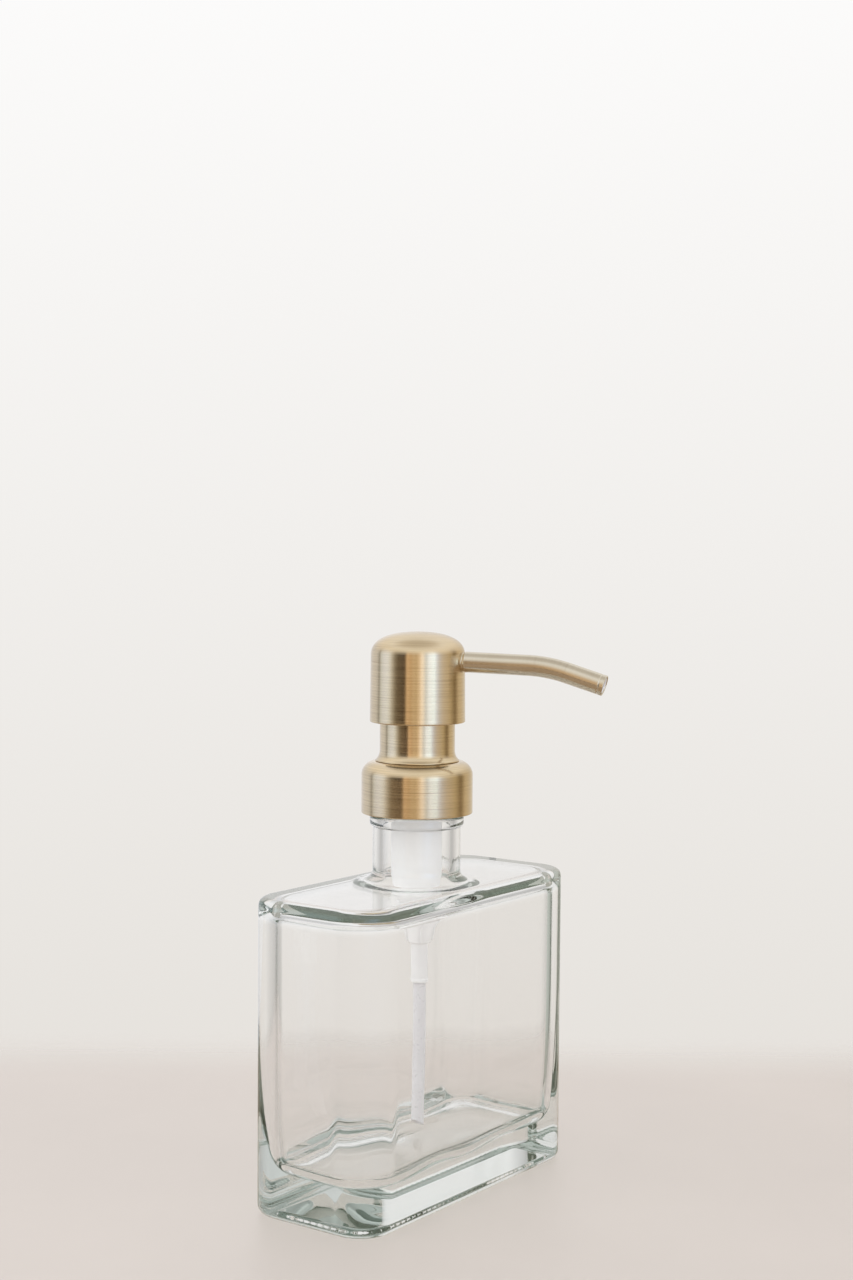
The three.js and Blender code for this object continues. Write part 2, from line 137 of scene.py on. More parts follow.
def alongAxis(tree, place, axis):
    node = addNode(tree, "VectorMath", operation="DOT_PRODUCT")
    node.inputs[1].default_value = axis
    tree.links.new(place, node.inputs[0])
    return node.outputs["Value"]


def grey(value):
    return (value, value, value, 1)


# Where share is 1 the surface lets everything straight through.
def seeThrough(tree, shader, share, clear):
    blend = addNode(tree, "MixShader")
    tree.links.new(share, blend.inputs[0])
    tree.links.new(shader.outputs[0], blend.inputs[1])
    tree.links.new(clear.outputs[0], blend.inputs[2])
    tree.links.new(blend.outputs[0], tree.nodes["Material Output"].inputs["Surface"])


def newMaterial(name):
    material = bpy.data.materials.new(name)
    material.use_nodes = True
    tree = material.node_tree
    return material, tree, tree.nodes["Principled BSDF"]


# The room: its light and its floor.
studio = {
    "backdropLow": (0.79, 0.76, 0.72),
    "backdropHigh": (0.975, 0.97, 0.965),
    # by the sine of the height above the horizon
    "above": [
        (0.0, (1.0, 1.0, 1.0)),
        (0.5, (0.98, 0.96, 0.95)),
        (0.66, (1.0, 1.0, 1.0)),
        (0.8, (1.0, 1.02, 1.08)),
        (0.93, (0.74, 0.72, 0.70)),
        (1.0, (0.66, 0.64, 0.62)),
    ],
    "roomLight": 1.3,  # what matt surfaces are lit by
    # degrees away from straight ahead, and how light the room is there
    "throughGlass": [(0, 1.0), (16, 1.0), (30, 0.80), (48, 0.60), (66, 0.74), (95, 0.90), (180, 0.94)],
    "upThroughGlass": 0.9,  # how light the room's upper part is, seen by way of the glass
    "floorColour": (0.50, 0.45, 0.415),
    # painted reflection: polished metal sees the floor in a darker brown, not the floor's own colour
    "paintedReflectionShare": 0.9,  # how far polished metal sees the floor in its own, darker colour
    "paintedReflectionColour": (0.28, 0.19, 0.11),
    "floorBack": 134,  # where the floor melts into the backdrop, behind the pump's axis
    "floorReach": 0.9,
    "brightest": 2.5,  # a ramp holds no more than 1, so the bands go in divided by this
    "bandTurn": 7.5,  # degrees that all the bands are moved to the right
    # Degrees round the room, from the main view's side to its right, and the light that metal meets
    # there. This isn't plain soft light: the bands are set for this view, to give the brass its stripes.
    "bands": [
        (-180, (0.90, 0.90, 0.92)),
        (-164, (0.78, 0.79, 0.84)),
        (-131, (0.76, 0.79, 0.88)),
        (-122, (0.66, 0.70, 0.80)),
        (-115, (0.36, 0.38, 0.41)),
        (-108, (0.78, 0.89, 1.08)),
        (-98, (0.93, 1.06, 1.39)),
        (-87, (1.0, 1.15, 1.48)),
        (-79, (0.90, 1.0, 1.2)),
        (-72, (0.60, 0.62, 0.65)),
        (-64, (0.26, 0.24, 0.21)),
        (-56, (0.10, 0.08, 0.055)),
        (-42, (0.05, 0.03, 0.015)),
        (-38, (0.14, 0.09, 0.05)),
        (-33, (0.92, 0.68, 0.46)),
        (-28, (0.80, 0.58, 0.38)),
        (-23, (0.68, 0.50, 0.31)),
        (-18, (0.80, 0.64, 0.46)),
        (-11, (0.70, 0.56, 0.37)),
        (-4, (0.98, 0.82, 0.66)),
        (3, (1.38, 1.33, 1.38)),
        (13, (0.90, 1.06, 1.36)),
        (20, (1.30, 1.58, 2.2)),
        (34, (1.38, 1.80, 2.5)),
        (39, (1.02, 1.24, 1.8)),
        (46, (0.76, 0.84, 1.05)),
        (57, (0.70, 0.66, 0.62)),
        (78, (0.60, 0.51, 0.35)),
        (95, (0.20, 0.14, 0.07)),
        (110, (0.66, 0.56, 0.40)),
        (160, (0.76, 0.73, 0.69)),
        (180, (0.90, 0.90, 0.92)),
    ],
}


def addStudio(spec):
    world = bpy.data.worlds.new("studio")
    bpy.context.scene.world = world
    world.use_nodes = True
    tree = world.node_tree
    tree.nodes.clear()
    direction = addNode(tree, "TexCoord").outputs["Generated"]
    height = alongAxis(tree, direction, (0, 0, 1))
    across, towards = (alongAxis(tree, direction, axis) for axis in (viewSide, viewLevel))
    bearing = math(tree, "ARCTAN2", across, towards)
    stops = []
    for degrees, light in spec["bands"]:
        stops.append(((degrees + 180) / 360, tuple(c / spec["brightest"] for c in light)))
    shareRound = math(tree, "MULTIPLY_ADD", bearing, 1 / fullTurn, 0.5 - spec["bandTurn"] / 360)
    bands = ramp(tree, shareRound, stops)
    bright = mixColours(tree, 1, bands, grey(spec["brightest"]), "MULTIPLY")
    # overhead the bands give way to a bright strip of window, and above that to a soft ceiling
    over = stretched(tree, height, 0.15, 0.55, 0, 1)
    glossy = mixColours(tree, over, bright, ramp(tree, height, spec["above"]))
    backdrop = ramp(
        tree,
        math(tree, "MULTIPLY_ADD", height, 1.9, 0.5, clamp=True),
        [(0.0, spec["backdropLow"]), (1.0, spec["backdropHigh"])],
    )
    path = addNode(tree, "LightPath")
    # light bent well aside by the glass meets darker parts of the room
    aside = math(tree, "MULTIPLY_ADD", math(tree, "ABSOLUTE", bearing), -1 / np.pi, 1.0)
    shade = ramp(tree, aside, [(place / 180, (value,) * 3) for place, value in spec["throughGlass"]])
    seen = mixColours(tree, 1, backdrop, shade, "MULTIPLY")
    higher = stretched(tree, height, 0.02, 0.2, 1, spec["upThroughGlass"])
    seen = mixColours(tree, 1, seen, higher, "MULTIPLY")
    room = grey(spec["roomLight"])
    lit = mixColours(tree, path.outputs["Is Glossy Ray"], room, glossy)
    throughGlass = math(tree, "GREATER_THAN", path.outputs["Transmission Depth"], 0.5)
    lit = mixColours(tree, throughGlass, lit, seen)
    lit = mixColours(tree, path.outputs["Is Diffuse Ray"], lit, room)
    lit = mixColours(tree, path.outputs["Is Camera Ray"], lit, backdrop)
    sky = addNode(tree, "Background")
    tree.links.new(lit, sky.inputs["Color"])
    tree.links.new(sky.outputs[0], addNode(tree, "OutputWorld").inputs["Surface"])


def addFloor(spec):
    # a square in line with the main view, whose four sides fade out
    reach = spec["floorReach"]
    square = ((-1, -1), (-1, 1), (1, 1), (1, -1))
    corners = [viewSide * reach * a + viewLevel * reach * b for a, b in square]
    mesh = bpy.data.meshes.new("floor")
    mesh.from_pydata([(c.x, c.y, -0.0001) for c in corners], [], [(0, 1, 2, 3)])
    if mesh.polygons[0].normal.z < 0:
        mesh.flip_normals()
    floor = bpy.data.objects.new("floor", mesh)
    bpy.context.scene.collection.objects.link(floor)
    material, tree, shader = newMaterial("paleStone")
    place = addNode(tree, "TexCoord").outputs["Object"]
    cloud = addNode(tree, "TexNoise", Scale=9.0, Detail=4.0, Roughness=0.55)
    tree.links.new(place, cloud.inputs["Vector"])
    low = tuple(c * 0.93 for c in spec["floorColour"]) + (1,)
    high = tuple(min(1, c * 1.05) for c in spec["floorColour"]) + (1,)
    pale = mixColours(tree, cloud.outputs["Fac"], low, high)
    # painted reflection: rays off the metal, not through glass, see the floor painted a darker brown
    path = addNode(tree, "LightPath")
    straight = math(tree, "LESS_THAN", path.outputs["Transmission Depth"], 0.5)
    reflected = math(tree, "MULTIPLY", path.outputs["Is Glossy Ray"], straight)
    paintedReflection = math(tree, "MULTIPLY", reflected, spec["paintedReflectionShare"])
    tone = mixColours(tree, paintedReflection, pale, spec["paintedReflectionColour"] + (1,))
    tree.links.new(tone, shader.inputs["Base Color"])
    shader.inputs["Roughness"].default_value = 0.42

    def fade(value, start, width):
        node = addNode(tree, "MapRange", interpolation_type="SMOOTHSTEP")
        node.inputs["From Min"].default_value = start
        node.inputs["From Max"].default_value = start + width
        tree.links.new(value, node.inputs["Value"])
        return node.outputs["Result"]

    level = alongAxis(tree, place, viewLevel)
    behind = fade(math(tree, "MULTIPLY", level, -1.0), spec["floorBack"] * mm - 0.03, 0.07)
    before = fade(level, 0.3, 0.4)
    beside = fade(math(tree, "ABSOLUTE", alongAxis(tree, place, viewSide)), 0.3, 0.4)
    gone = math(tree, "MAXIMUM", behind, math(tree, "MAXIMUM", before, beside))
    seeThrough(tree, shader, gone, addNode(tree, "BsdfTransparent"))
    mesh.materials.append(material)


def addSoftbox(name, place, aim, size, power):
    light = bpy.data.lights.new(name, "AREA")
    light.shape = "RECTANGLE"
    light.size, light.size_y = size
    light.energy = power
    softbox = bpy.data.objects.new(name, light)
    softbox.location = place
    softbox.rotation_euler = (Vector(aim) - Vector(place)).to_track_quat("-Z", "Y").to_euler()
    softbox.visible_glossy = False
    softbox.visible_transmission = False
    softbox.visible_camera = False
    bpy.context.scene.collection.objects.link(softbox)


addStudio(studio)
addFloor(studio)
addSoftbox("softboxAbove", (-0.9, 0.5, 1.5), (0, 0, 0.05), (1.2, 1.2), 6)
print("studio ready")


# A grid of points (rows by columns) as one closed skin. Each point joins its neighbours in its row and
# its column. Columns always run round and meet. Rows meet too when ring is true; otherwise each end
# closes on one middle point.
def skin(points, ring):
    rows, columns = points.shape[:2]
    i = np.arange(rows if ring else rows - 1)[:, None]
    j = np.arange(columns)[None, :]
    after, beside = (i + 1) % rows, (j + 1) % columns
    here, below = i * columns, after * columns
    quads = np.stack([here + j, here + beside, below + beside, below + j], -1)
    places = points.reshape(-1, 3)
    fans = np.zeros((0, 3), int)
    if not ring:
        this, following = j[0], beside[0]
        last = (rows - 1) * columns
        first = np.stack([np.full(columns, rows * columns), following, this], -1)
        end = np.stack([np.full(columns, rows * columns + 1), last + this, last + following], -1)
        fans = np.concatenate([first, end])
        places = np.concatenate([places, points[[0, -1]].mean(1)])
    return places, quads.reshape(-1, 4), fans


# Several skins in one piece. Each is (points, ring) or (points, ring, along), along being a length in
# millimetres that the brushing follows.
def makePiece(name, body, material, skins, node):
    places, faces, lengths, count = [], [], [], 0
    for points, ring, *more in skins:
        spots, quads, fans = skin(points, ring)
        along = more[0] if more else np.zeros(points.shape[:2])
        along = np.broadcast_to(along, points.shape[:2]).reshape(-1)
        lengths += [along, [along[0], along[-1]] if not ring else []]
        places.append(spots)
        faces += (quads + count).tolist() + (fans + count).tolist()
        count += len(spots)
    mesh = bpy.data.meshes.new(name)
    mesh.from_pydata((np.concatenate(places) * mm).tolist(), [], faces)
    travelled = mesh.attributes.new("along", "FLOAT", "POINT")
    travelled.data.foreach_set("value", np.concatenate(lengths).astype(np.float32))
    mesh.shade_smooth()
    mesh.materials.append(material)
    piece = bpy.data.objects.new(name, mesh)
    bpy.context.scene.collection.objects.link(piece)
    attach(piece, body)
    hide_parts(node)
    return piece


# Corners (x, y, radius) rounded off: each becomes an arc between the two points where a circle of that
# radius touches its sides, with one more point a little way along each side, so that flat faces shade
# flat.
def rounded(corners, steps=5, closed=True, hold=0.12):
    corners = np.array(corners, float)
    places, radii = corners[:, :2], np.maximum(corners[:, 2], 0.03)
    before, after = np.roll(places, 1, 0) - places, np.roll(places, -1, 0) - places
    before /= np.linalg.norm(before, axis=1)[:, None]
    after /= np.linalg.norm(after, axis=1)[:, None]
    half = np.arccos(np.clip((before * after).sum(1), -0.99999, 0.99999)) / 2
    reach = radii / np.tan(half)
    middle = before + after
    centre = places + middle / np.linalg.norm(middle, axis=1)[:, None] * (radii / np.sin(half))[:, None]
    start = (places + before * reach[:, None] - centre) / radii[:, None]
    end = (places + after * reach[:, None] - centre) / radii[:, None]
    turn = (np.pi - 2 * half)[:, None]
    share = np.linspace(0, 1, steps + 1)[None, :]
    leaving = (np.sin((1 - share) * turn) / np.sin(turn))[..., None] * start[:, None]
    arriving = (np.sin(share * turn) / np.sin(turn))[..., None] * end[:, None]
    arc = centre[:, None] + radii[:, None, None] * (leaving + arriving)
    clear = (reach + hold * np.minimum(1, radii * 3))[:, None]
    path = np.concatenate([(places + before * clear)[:, None], arc, (places + after * clear)[:, None]], 1)
    if closed:
        return path.reshape(-1, 2)
    return np.concatenate([places[:1], path[1:-1].reshape(-1, 2), places[-1:]])


# Distance travelled along a line of points.
def lengthAlong(path):
    steps = np.linalg.norm(np.diff(path, axis=0), axis=1)
    return np.concatenate([[0], np.cumsum(steps)])


# A profile (radius, height) carried round the Z axis: x = radius cos, y = radius sin. A profile that
# starts and ends on the axis gives a solid, and a closed one gives a ring.
def turned(profile, columns):
    onAxis = profile[0, 0] < 1e-6
    rim = profile[1:-1] if onAxis else profile
    angle = np.linspace(0, fullTurn, columns, endpoint=False)
    radius, height = rim[:, :1], rim[:, 1:]
    points = np.stack([radius * np.cos(angle), radius * np.sin(angle), height + 0 * angle], -1)
    return points, not onAxis, lengthAlong(rim)[:, None]


# An even step from 0 to 1: 3 v^2 - 2 v^3.
def smooth(value):
    value = np.clip(value, 0, 1)
    return value * value * (3 - 2 * value)


# Finishes that several pieces share.
def newGroup(name, inputs, outputs):
    group = bpy.data.node_groups.new(name, "ShaderNodeTree")
    for title, kind, value in inputs:
        socket = group.interface.new_socket(title, in_out="INPUT", socket_type="NodeSocket" + kind)
        socket.default_value = value
    for title, kind in outputs:
        group.interface.new_socket(title, in_out="OUTPUT", socket_type="NodeSocket" + kind)
    return group, group.nodes.new("NodeGroupInput"), group.nodes.new("NodeGroupOutput")


# Lines brushed round the axis: noise that is stretched a long way round and packed tightly along the
# profile.
def brushingGroup():
    group, inlet, outlet = newGroup(
        "brushing",
        [("Fine", "Float", 6.0), ("Coarse", "Float", 0.9),
         ("Stretch", "Float", 60.0), ("Along", "Float", 0.0)],
        [("Lines", "Float"), ("Streaks", "Float")],
    )
    place = addNode(group, "TexCoord").outputs["Object"]
    split = addNode(group, "SeparateXYZ")
    group.links.new(place, split.inputs[0])

    def lines(density, stretch, detail):
        join = addNode(group, "CombineXYZ")
        group.links.new(math(group, "MULTIPLY", split.outputs[0], stretch), join.inputs[0])
        group.links.new(math(group, "MULTIPLY", split.outputs[1], stretch), join.inputs[1])
        group.links.new(math(group, "MULTIPLY", inlet.outputs["Along"], density), join.inputs[2])
        noise = addNode(group, "TexNoise", Scale=1.0, Detail=detail, Roughness=0.6)
        group.links.new(join.outputs[0], noise.inputs["Vector"])
        return noise.outputs["Fac"]

    group.links.new(lines(inlet.outputs["Fine"], inlet.outputs["Stretch"], 2.0), outlet.inputs["Lines"])
    group.links.new(lines(inlet.outputs["Coarse"], inlet.outputs["Stretch"], 3.0), outlet.inputs["Streaks"])
    return group


# Soft unevenness for moulded and drawn parts: two sizes of noise on the object's own coordinates.
def unevenGroup():
    group, inlet, outlet = newGroup(
        "uneven",
        [("Broad", "Float", 40.0), ("Grain", "Float", 900.0)],
        [("Cloud", "Float"), ("Speckle", "Float")],
    )
    place = addNode(group, "TexCoord").outputs["Object"]
    for title, socket, detail in (("Cloud", "Broad", 3.0), ("Speckle", "Grain", 2.0)):
        noise = addNode(group, "TexNoise", Detail=detail)
        group.links.new(place, noise.inputs["Vector"])
        group.links.new(inlet.outputs[socket], noise.inputs["Scale"])
        group.links.new(noise.outputs["Fac"], outlet.inputs[title])
    return group


brushing = brushingGroup()
uneven = unevenGroup()


def placeGroup(tree, group, **values):
    node = tree.nodes.new("ShaderNodeGroup")
    node.node_tree = group
    for key, value in values.items():
        node.inputs[key].default_value = value
    return node


def brassMaterial(name, spec):
    material, tree, shader = newMaterial(name)
    lines = placeGroup(tree, brushing, Fine=spec["fine"], Coarse=spec["coarse"], Stretch=spec["stretch"])
    along = addNode(tree, "Attribute", attribute_name="along")
    tree.links.new(along.outputs["Fac"], lines.inputs["Along"])
    patches = placeGroup(tree, uneven, Broad=55.0)
    cloud = stretched(tree, patches.outputs["Cloud"], 0.35, 0.65, 0, 1)
    plain = mixColours(tree, cloud, spec["colour"] + (1,), spec["tarnish"] + (1,))
    streak = stretched(tree, lines.outputs["Streaks"], 0.62, 0.78, 0, spec["streaks"])
    tone = mixColours(tree, streak, plain, spec["streakColour"] + (1,))
    grain = stretched(tree, lines.outputs["Lines"], 0.3, 0.7, 1 - spec["grain"], 1 + spec["grain"])
    join = addNode(tree, "CombineColor")
    for socket in join.inputs[:3]:
        tree.links.new(grain, socket)
    tree.links.new(mixColours(tree, 1, tone, join.outputs[0], "MULTIPLY"), shader.inputs["Base Color"])
    rough = stretched(tree, lines.outputs["Lines"], 0.3, 0.7, spec["rough"] - 0.04, spec["rough"] + 0.04)
    tree.links.new(rough, shader.inputs["Roughness"])
    bump = addNode(tree, "Bump", Strength=spec["bump"], Distance=0.00005)
    tree.links.new(lines.outputs["Lines"], bump.inputs["Height"])
    tree.links.new(bump.outputs[0], shader.inputs["Normal"])
    shader.inputs["Metallic"].default_value = 1
    shader.inputs["Anisotropic"].default_value = spec["anisotropy"]
    shader.inputs["Anisotropic Rotation"].default_value = 0.25
    shader.inputs["Coat Weight"].default_value = spec["lacquer"]
    shader.inputs["Coat Roughness"].default_value = 0.12
    return material


brushedBrassLook = {
    "colour": (0.71, 0.57, 0.37),
    "tarnish": (0.67, 0.54, 0.34),
    "streakColour": (0.30, 0.20, 0.10),
    "streaks": 0.5,
    "fine": 9.0,  # lines to the millimetre, about
    "coarse": 1.9,
    "stretch": 40.0,
    "grain": 0.13,
    "rough": 0.18,
    "bump": 0.3,
    "anisotropy": 0.88,
    "lacquer": 0.25,
}
smoothBrassLook = dict(
    brushedBrassLook,
    colour=(0.68, 0.61, 0.48),
    tarnish=(0.64, 0.57, 0.44),
    streaks=0.15,
    grain=0.04,
    rough=0.2,
    bump=0.12,
    anisotropy=0.0,
)
brushedBrass = brassMaterial("brushedBrass", brushedBrassLook)
smoothBrass = brassMaterial("smoothBrass", smoothBrassLook)


# The ground of the plain finishes: cloudy between two colours, and speckled between two roughnesses.
def clouded(name, light, dark, smoothest, roughest, **grains):
    material, tree, shader = newMaterial(name)
    marks = placeGroup(tree, uneven, **grains)
    cloud = stretched(tree, marks.outputs["Cloud"], 0.35, 0.65, 0, 1)
    tree.links.new(mixColours(tree, cloud, light + (1,), dark + (1,)), shader.inputs["Base Color"])
    speckle = stretched(tree, marks.outputs["Speckle"], 0.3, 0.7, smoothest, roughest)
    tree.links.new(speckle, shader.inputs["Roughness"])
    return material, tree, shader, marks


def plasticMaterial(name, colour, rough, inside=0.0, speckle=0.02):
    shade = tuple(c * 0.95 for c in colour)
    material, tree, shader, marks = clouded(
        name, colour, shade, rough - 0.05, rough + 0.05, Broad=120.0, Grain=2500.0)
    bump = addNode(tree, "Bump", Strength=speckle, Distance=0.0001)
    tree.links.new(marks.outputs["Speckle"], bump.inputs["Height"])
    tree.links.new(bump.outputs[0], shader.inputs["Normal"])
    shader.inputs["Subsurface Weight"].default_value = inside
    shader.inputs["Subsurface Radius"].default_value = (1.0, 1.0, 1.0)
    shader.inputs["Subsurface Scale"].default_value = 0.002
    return material


whitePlastic = plasticMaterial("whitePlastic", (0.97, 0.97, 0.985), 0.38, inside=0.3)
softPlastic = plasticMaterial("softPlastic", (0.80, 0.79, 0.74), 0.5, inside=0.2)
sealFoam = plasticMaterial("sealFoam", (0.76, 0.76, 0.72), 0.85, speckle=0.4)


def tubeMaterial():
    material, _, shader, _ = clouded(
        "milkyTube", (0.85, 0.845, 0.875), (0.81, 0.805, 0.835), 0.25, 0.4, Broad=90.0, Grain=1500.0)
    shader.inputs["Transmission Weight"].default_value = 0.15
    shader.inputs["IOR"].default_value = 1.5
    return material


def steelMaterial():
    material, _, shader, _ = clouded(
        "brightSteel", (0.60, 0.60, 0.61), (0.50, 0.50, 0.51), 0.2, 0.32, Broad=200.0, Grain=1800.0)
    shader.inputs["Metallic"].default_value = 1
    return material


milkyTube = tubeMaterial()
brightSteel = steelMaterial()
print("finishes ready")


# The bottle.
bottleShape = {
    "width": 100.6,
    "depth": 44.0,
    "corner": 10.5,  # of the outline
    "heel": 2.5,  # rounding at the foot and at the shoulder's edge
    "top": 88.0,
    "floor": 11.6,
    "floorWave": 0.5,
    "ceiling": 84.7,  # inside the shoulder
    "ceilingEdge": 3.6,
    "floorEdge": 5.5,
    "wall": 2.5,
    "innerCorner": 14.5,  # the corner that the cavity's outline is set in from
    "wallFoot": 3.0,  # how much thicker the wall is at the floor
    "footFade": 13.0,
    "neck": 12.6,
    "bore": 9.7,
    "neckTop": 117.8,
    "bead": (13.5, 104.2, 107.2),
    "thread": 13.7,
    "threadTop": 115.4,
    "pitch": 4.2333,
    "turns": 1.5,
    "hollow": 1.1,  # the underside's rise inside its bearing edge
    "hollowInset": 9.0,  # where the underside's hollow has its full rise
    "edgeInset": 5.5,  # and where it meets the bearing edge
    "neckFillet": 3.0,
    "neckSpread": 2.9,  # how far the shoulder starts to rise before the fillet
    "neckRise": 0.6,
    "rimRound": 0.5,
    "mouthRound": 0.6,
    "boreBell": 5.0,  # the round by which the bore opens under the shoulder
    "threadReach": 1.2,  # half the thread's width at its foot
    "threadSlope": 0.65,
    "threadFade": 0.12,  # of a turn, at each end
    "wander": 0.05,
}


# A rounded rectangle set in by inset, walked once round at an even pace in its own corners: straight
# sides, then arcs. Corner k's centre is at the rectangle's corner less the radius, and each arc turns
# 90 degrees.
def outline(spec, inset, columns):
    long, short, bend = columns["long"], columns["short"], columns["bend"]
    radius = spec["corner"]
    cx, cy = spec["width"] / 2 - radius, spec["depth"] / 2 - radius
    turn = np.linspace(0, np.pi / 2, bend, endpoint=False)
    straightLong, straightShort = (np.linspace(0, 1, steps, endpoint=False) for steps in (long, short))
    centres, angles = [], []
    for quarter, (sx, sy) in enumerate(((1, 1), (-1, 1), (-1, -1), (1, -1))):
        centres.append(np.stack([np.full(bend, sx * cx), np.full(bend, sy * cy)], -1))
        angles.append(turn + quarter * np.pi / 2)
        walk = straightLong if quarter % 2 == 0 else straightShort
        here = np.array([sx * cx, sy * cy])
        ahead = here * ((-1, 1) if quarter % 2 == 0 else (1, -1))
        centres.append(here + (ahead - here) * walk[:, None])
        angles.append(np.full(len(walk), (quarter + 1) * np.pi / 2))
    centre, angle = np.concatenate(centres), np.concatenate(angles)
    facing = np.stack([np.cos(angle), np.sin(angle)], -1)
    # the corner's own radius shrinks with the inset; past that, the sides go on in and the corner stays
    # sharp
    inset = np.asarray(inset, float)[..., None, None]
    left = np.maximum(radius - inset, 0.0)
    past = np.maximum(inset - radius, 0.0)
    return centre - np.sign(centre) * past + facing * left


bottleColumns = {"long": 76, "short": 36, "bend": 18}


def bottleSkin(spec):
    count = 2 * (bottleColumns["long"] + bottleColumns["short"]) + 4 * bottleColumns["bend"]
    angle = np.linspace(0, fullTurn, count, endpoint=False) + np.radians(16)
    circle = np.stack([np.cos(angle), np.sin(angle)], -1)
    heel, top = spec["heel"], spec["top"]
    rows, heights = [], []

    def add(ring, height):
        rows.append(np.broadcast_to(ring, (len(height), count, 2)))
        level = np.asarray(height, float).reshape(len(height), -1)
        heights.append(np.broadcast_to(level, (len(height), count)))

    # underside: a shallow hollow inside the bearing edge
    share = np.linspace(0.06, 0.94, 12)
    deep, edge = spec["hollowInset"], spec["edgeInset"]
    inner = outline(spec, [deep], bottleColumns)
    add(inner * share[:, None, None], np.full(12, spec["hollow"]))
    inset = np.linspace(deep, edge, 9)
    add(outline(spec, inset, bottleColumns), spec["hollow"] * smooth((inset - edge) / (deep - edge)))
    inset = np.linspace(edge - 0.3, heel + 0.2, 4)
    add(outline(spec, inset, bottleColumns), np.zeros(4))
    # heel, wall and shoulder edge
    turn = np.linspace(0, np.pi / 2, 12)
    add(outline(spec, heel * (1 - np.sin(turn)), bottleColumns), heel * (1 - np.cos(turn)))
    climb = np.linspace(heel + 0.3, top - heel - 0.3, 24)
    add(outline(spec, np.zeros(24), bottleColumns), climb)
    add(outline(spec, heel * (1 - np.cos(turn)), bottleColumns), top - heel * (1 - np.sin(turn)))
    # shoulder: the outline turns into a circle, and rises a little to the neck
    fillet, spread, rise = spec["neckFillet"], spec["neckSpread"], spec["neckRise"]
    foot = spec["neck"] + fillet
    blend = smooth(np.linspace(0.03, 1, 18))[:, None, None]
    flat = outline(spec, [heel + 0.1], bottleColumns) * (1 - blend) + circle * (foot + spread) * blend
    add(flat, np.full(18, top))
    ease = np.linspace(0.15, 1, 6)
    add(circle * (foot + spread - (spread - 0.2) * ease)[:, None, None], top + rise * smooth(ease))
    turn = np.linspace(0.08, np.pi / 2, 10)
    add(circle * (foot - fillet * np.sin(turn))[:, None, None], top + rise + fillet * (1 - np.cos(turn)))
    # neck, bead, thread and rim as one profile
    bead, beadFoot, beadHead = spec["bead"]
    neck = spec["neck"]
    profile = rounded([
        (neck, top + 4.5, 1), (neck, beadFoot, 0.35), (bead, beadFoot + 0.25, 0.8), (bead, beadHead, 0.8),
        (neck, beadHead + 0.2, 0.35), (neck, 111, 1)], steps=6, closed=False)
    add(circle * profile[:, 0][:, None, None], profile[:, 1])
    climb = np.linspace(beadHead + 1.0, spec["neckTop"] - 0.6, 42)
    turns = np.mod(-angle / fullTurn, 1)[None, :] + np.arange(2)[:, None]
    far = np.abs(climb[None, :, None] - (spec["threadTop"] - spec["pitch"] * turns)[:, None, :])
    run = np.clip(np.minimum(turns, spec["turns"] - turns) / spec["threadFade"], 0, 1)[:, None, :]
    ridge = (smooth((spec["threadReach"] - far) / spec["threadSlope"]) * smooth(run)).max(0)
    reach = neck + (spec["thread"] - neck) * ridge
    rows.append(circle[None] * reach[..., None])
    heights.append(np.broadcast_to(climb[:, None], reach.shape))
    turn = np.linspace(0, np.pi / 2, 6)
    neckTop, bore, lip, mouth = (spec[k] for k in ("neckTop", "bore", "rimRound", "mouthRound"))
    reach = neck - lip + lip * np.cos(turn)
    add(circle * reach[:, None, None], neckTop - lip + lip * np.sin(turn))
    reach = bore + mouth - mouth * np.sin(turn)
    add(circle * reach[:, None, None], neckTop - mouth + mouth * np.cos(turn))
    # down the bore, and out under the shoulder
    ceiling, bell = spec["ceiling"], spec["boreBell"]
    climb = np.linspace(neckTop - 2, ceiling + bell + 0.2, 14)
    add(np.broadcast_to(circle * bore, (14, count, 2)), climb)
    turn = np.linspace(0.06, np.pi / 2, 12)
    add(circle * (bore + bell * (1 - np.cos(turn)))[:, None, None], ceiling + bell * (1 - np.sin(turn)))
    # inside of the shoulder, the wall that thickens to the foot, and the floor
    outsideRows = sum(len(height) for height in heights)
    edge, brow = spec["floorEdge"], spec["ceilingEdge"]
    cavity = dict(spec, corner=spec["innerCorner"])

    def wallAt(height):
        above = np.asarray(height) - spec["floor"]
        return spec["wall"] + spec["wallFoot"] * np.exp(-above / spec["footFade"])

    blend = smooth(np.linspace(0.04, 0.97, 16))[:, None, None]
    inner = outline(cavity, [wallAt(ceiling - brow) + brow], bottleColumns)
    add(circle * (bore + bell) * (1 - blend) + inner * blend, np.full(16, ceiling))
    turn = np.linspace(0, np.pi / 2, 12)
    down = ceiling - brow * (1 - np.cos(turn))
    add(outline(cavity, wallAt(down) + brow * (1 - np.sin(turn)), bottleColumns), down)
    down = np.linspace(ceiling - brow - 0.8, spec["floor"] + edge + 0.6, 30)
    add(outline(cavity, wallAt(down), bottleColumns), down)
    down = spec["floor"] + edge * (1 - np.sin(turn))
    add(outline(cavity, wallAt(down) + edge * (1 - np.cos(turn)), bottleColumns), down)
    inner = outline(cavity, [wallAt(spec["floor"]) + edge], bottleColumns)
    share = np.linspace(0.95, 0.06, 18)
    add(inner * share[:, None, None], np.full(18, spec["floor"]))
    points = np.concatenate([np.concatenate(rows), np.concatenate(heights)[..., None]], -1)
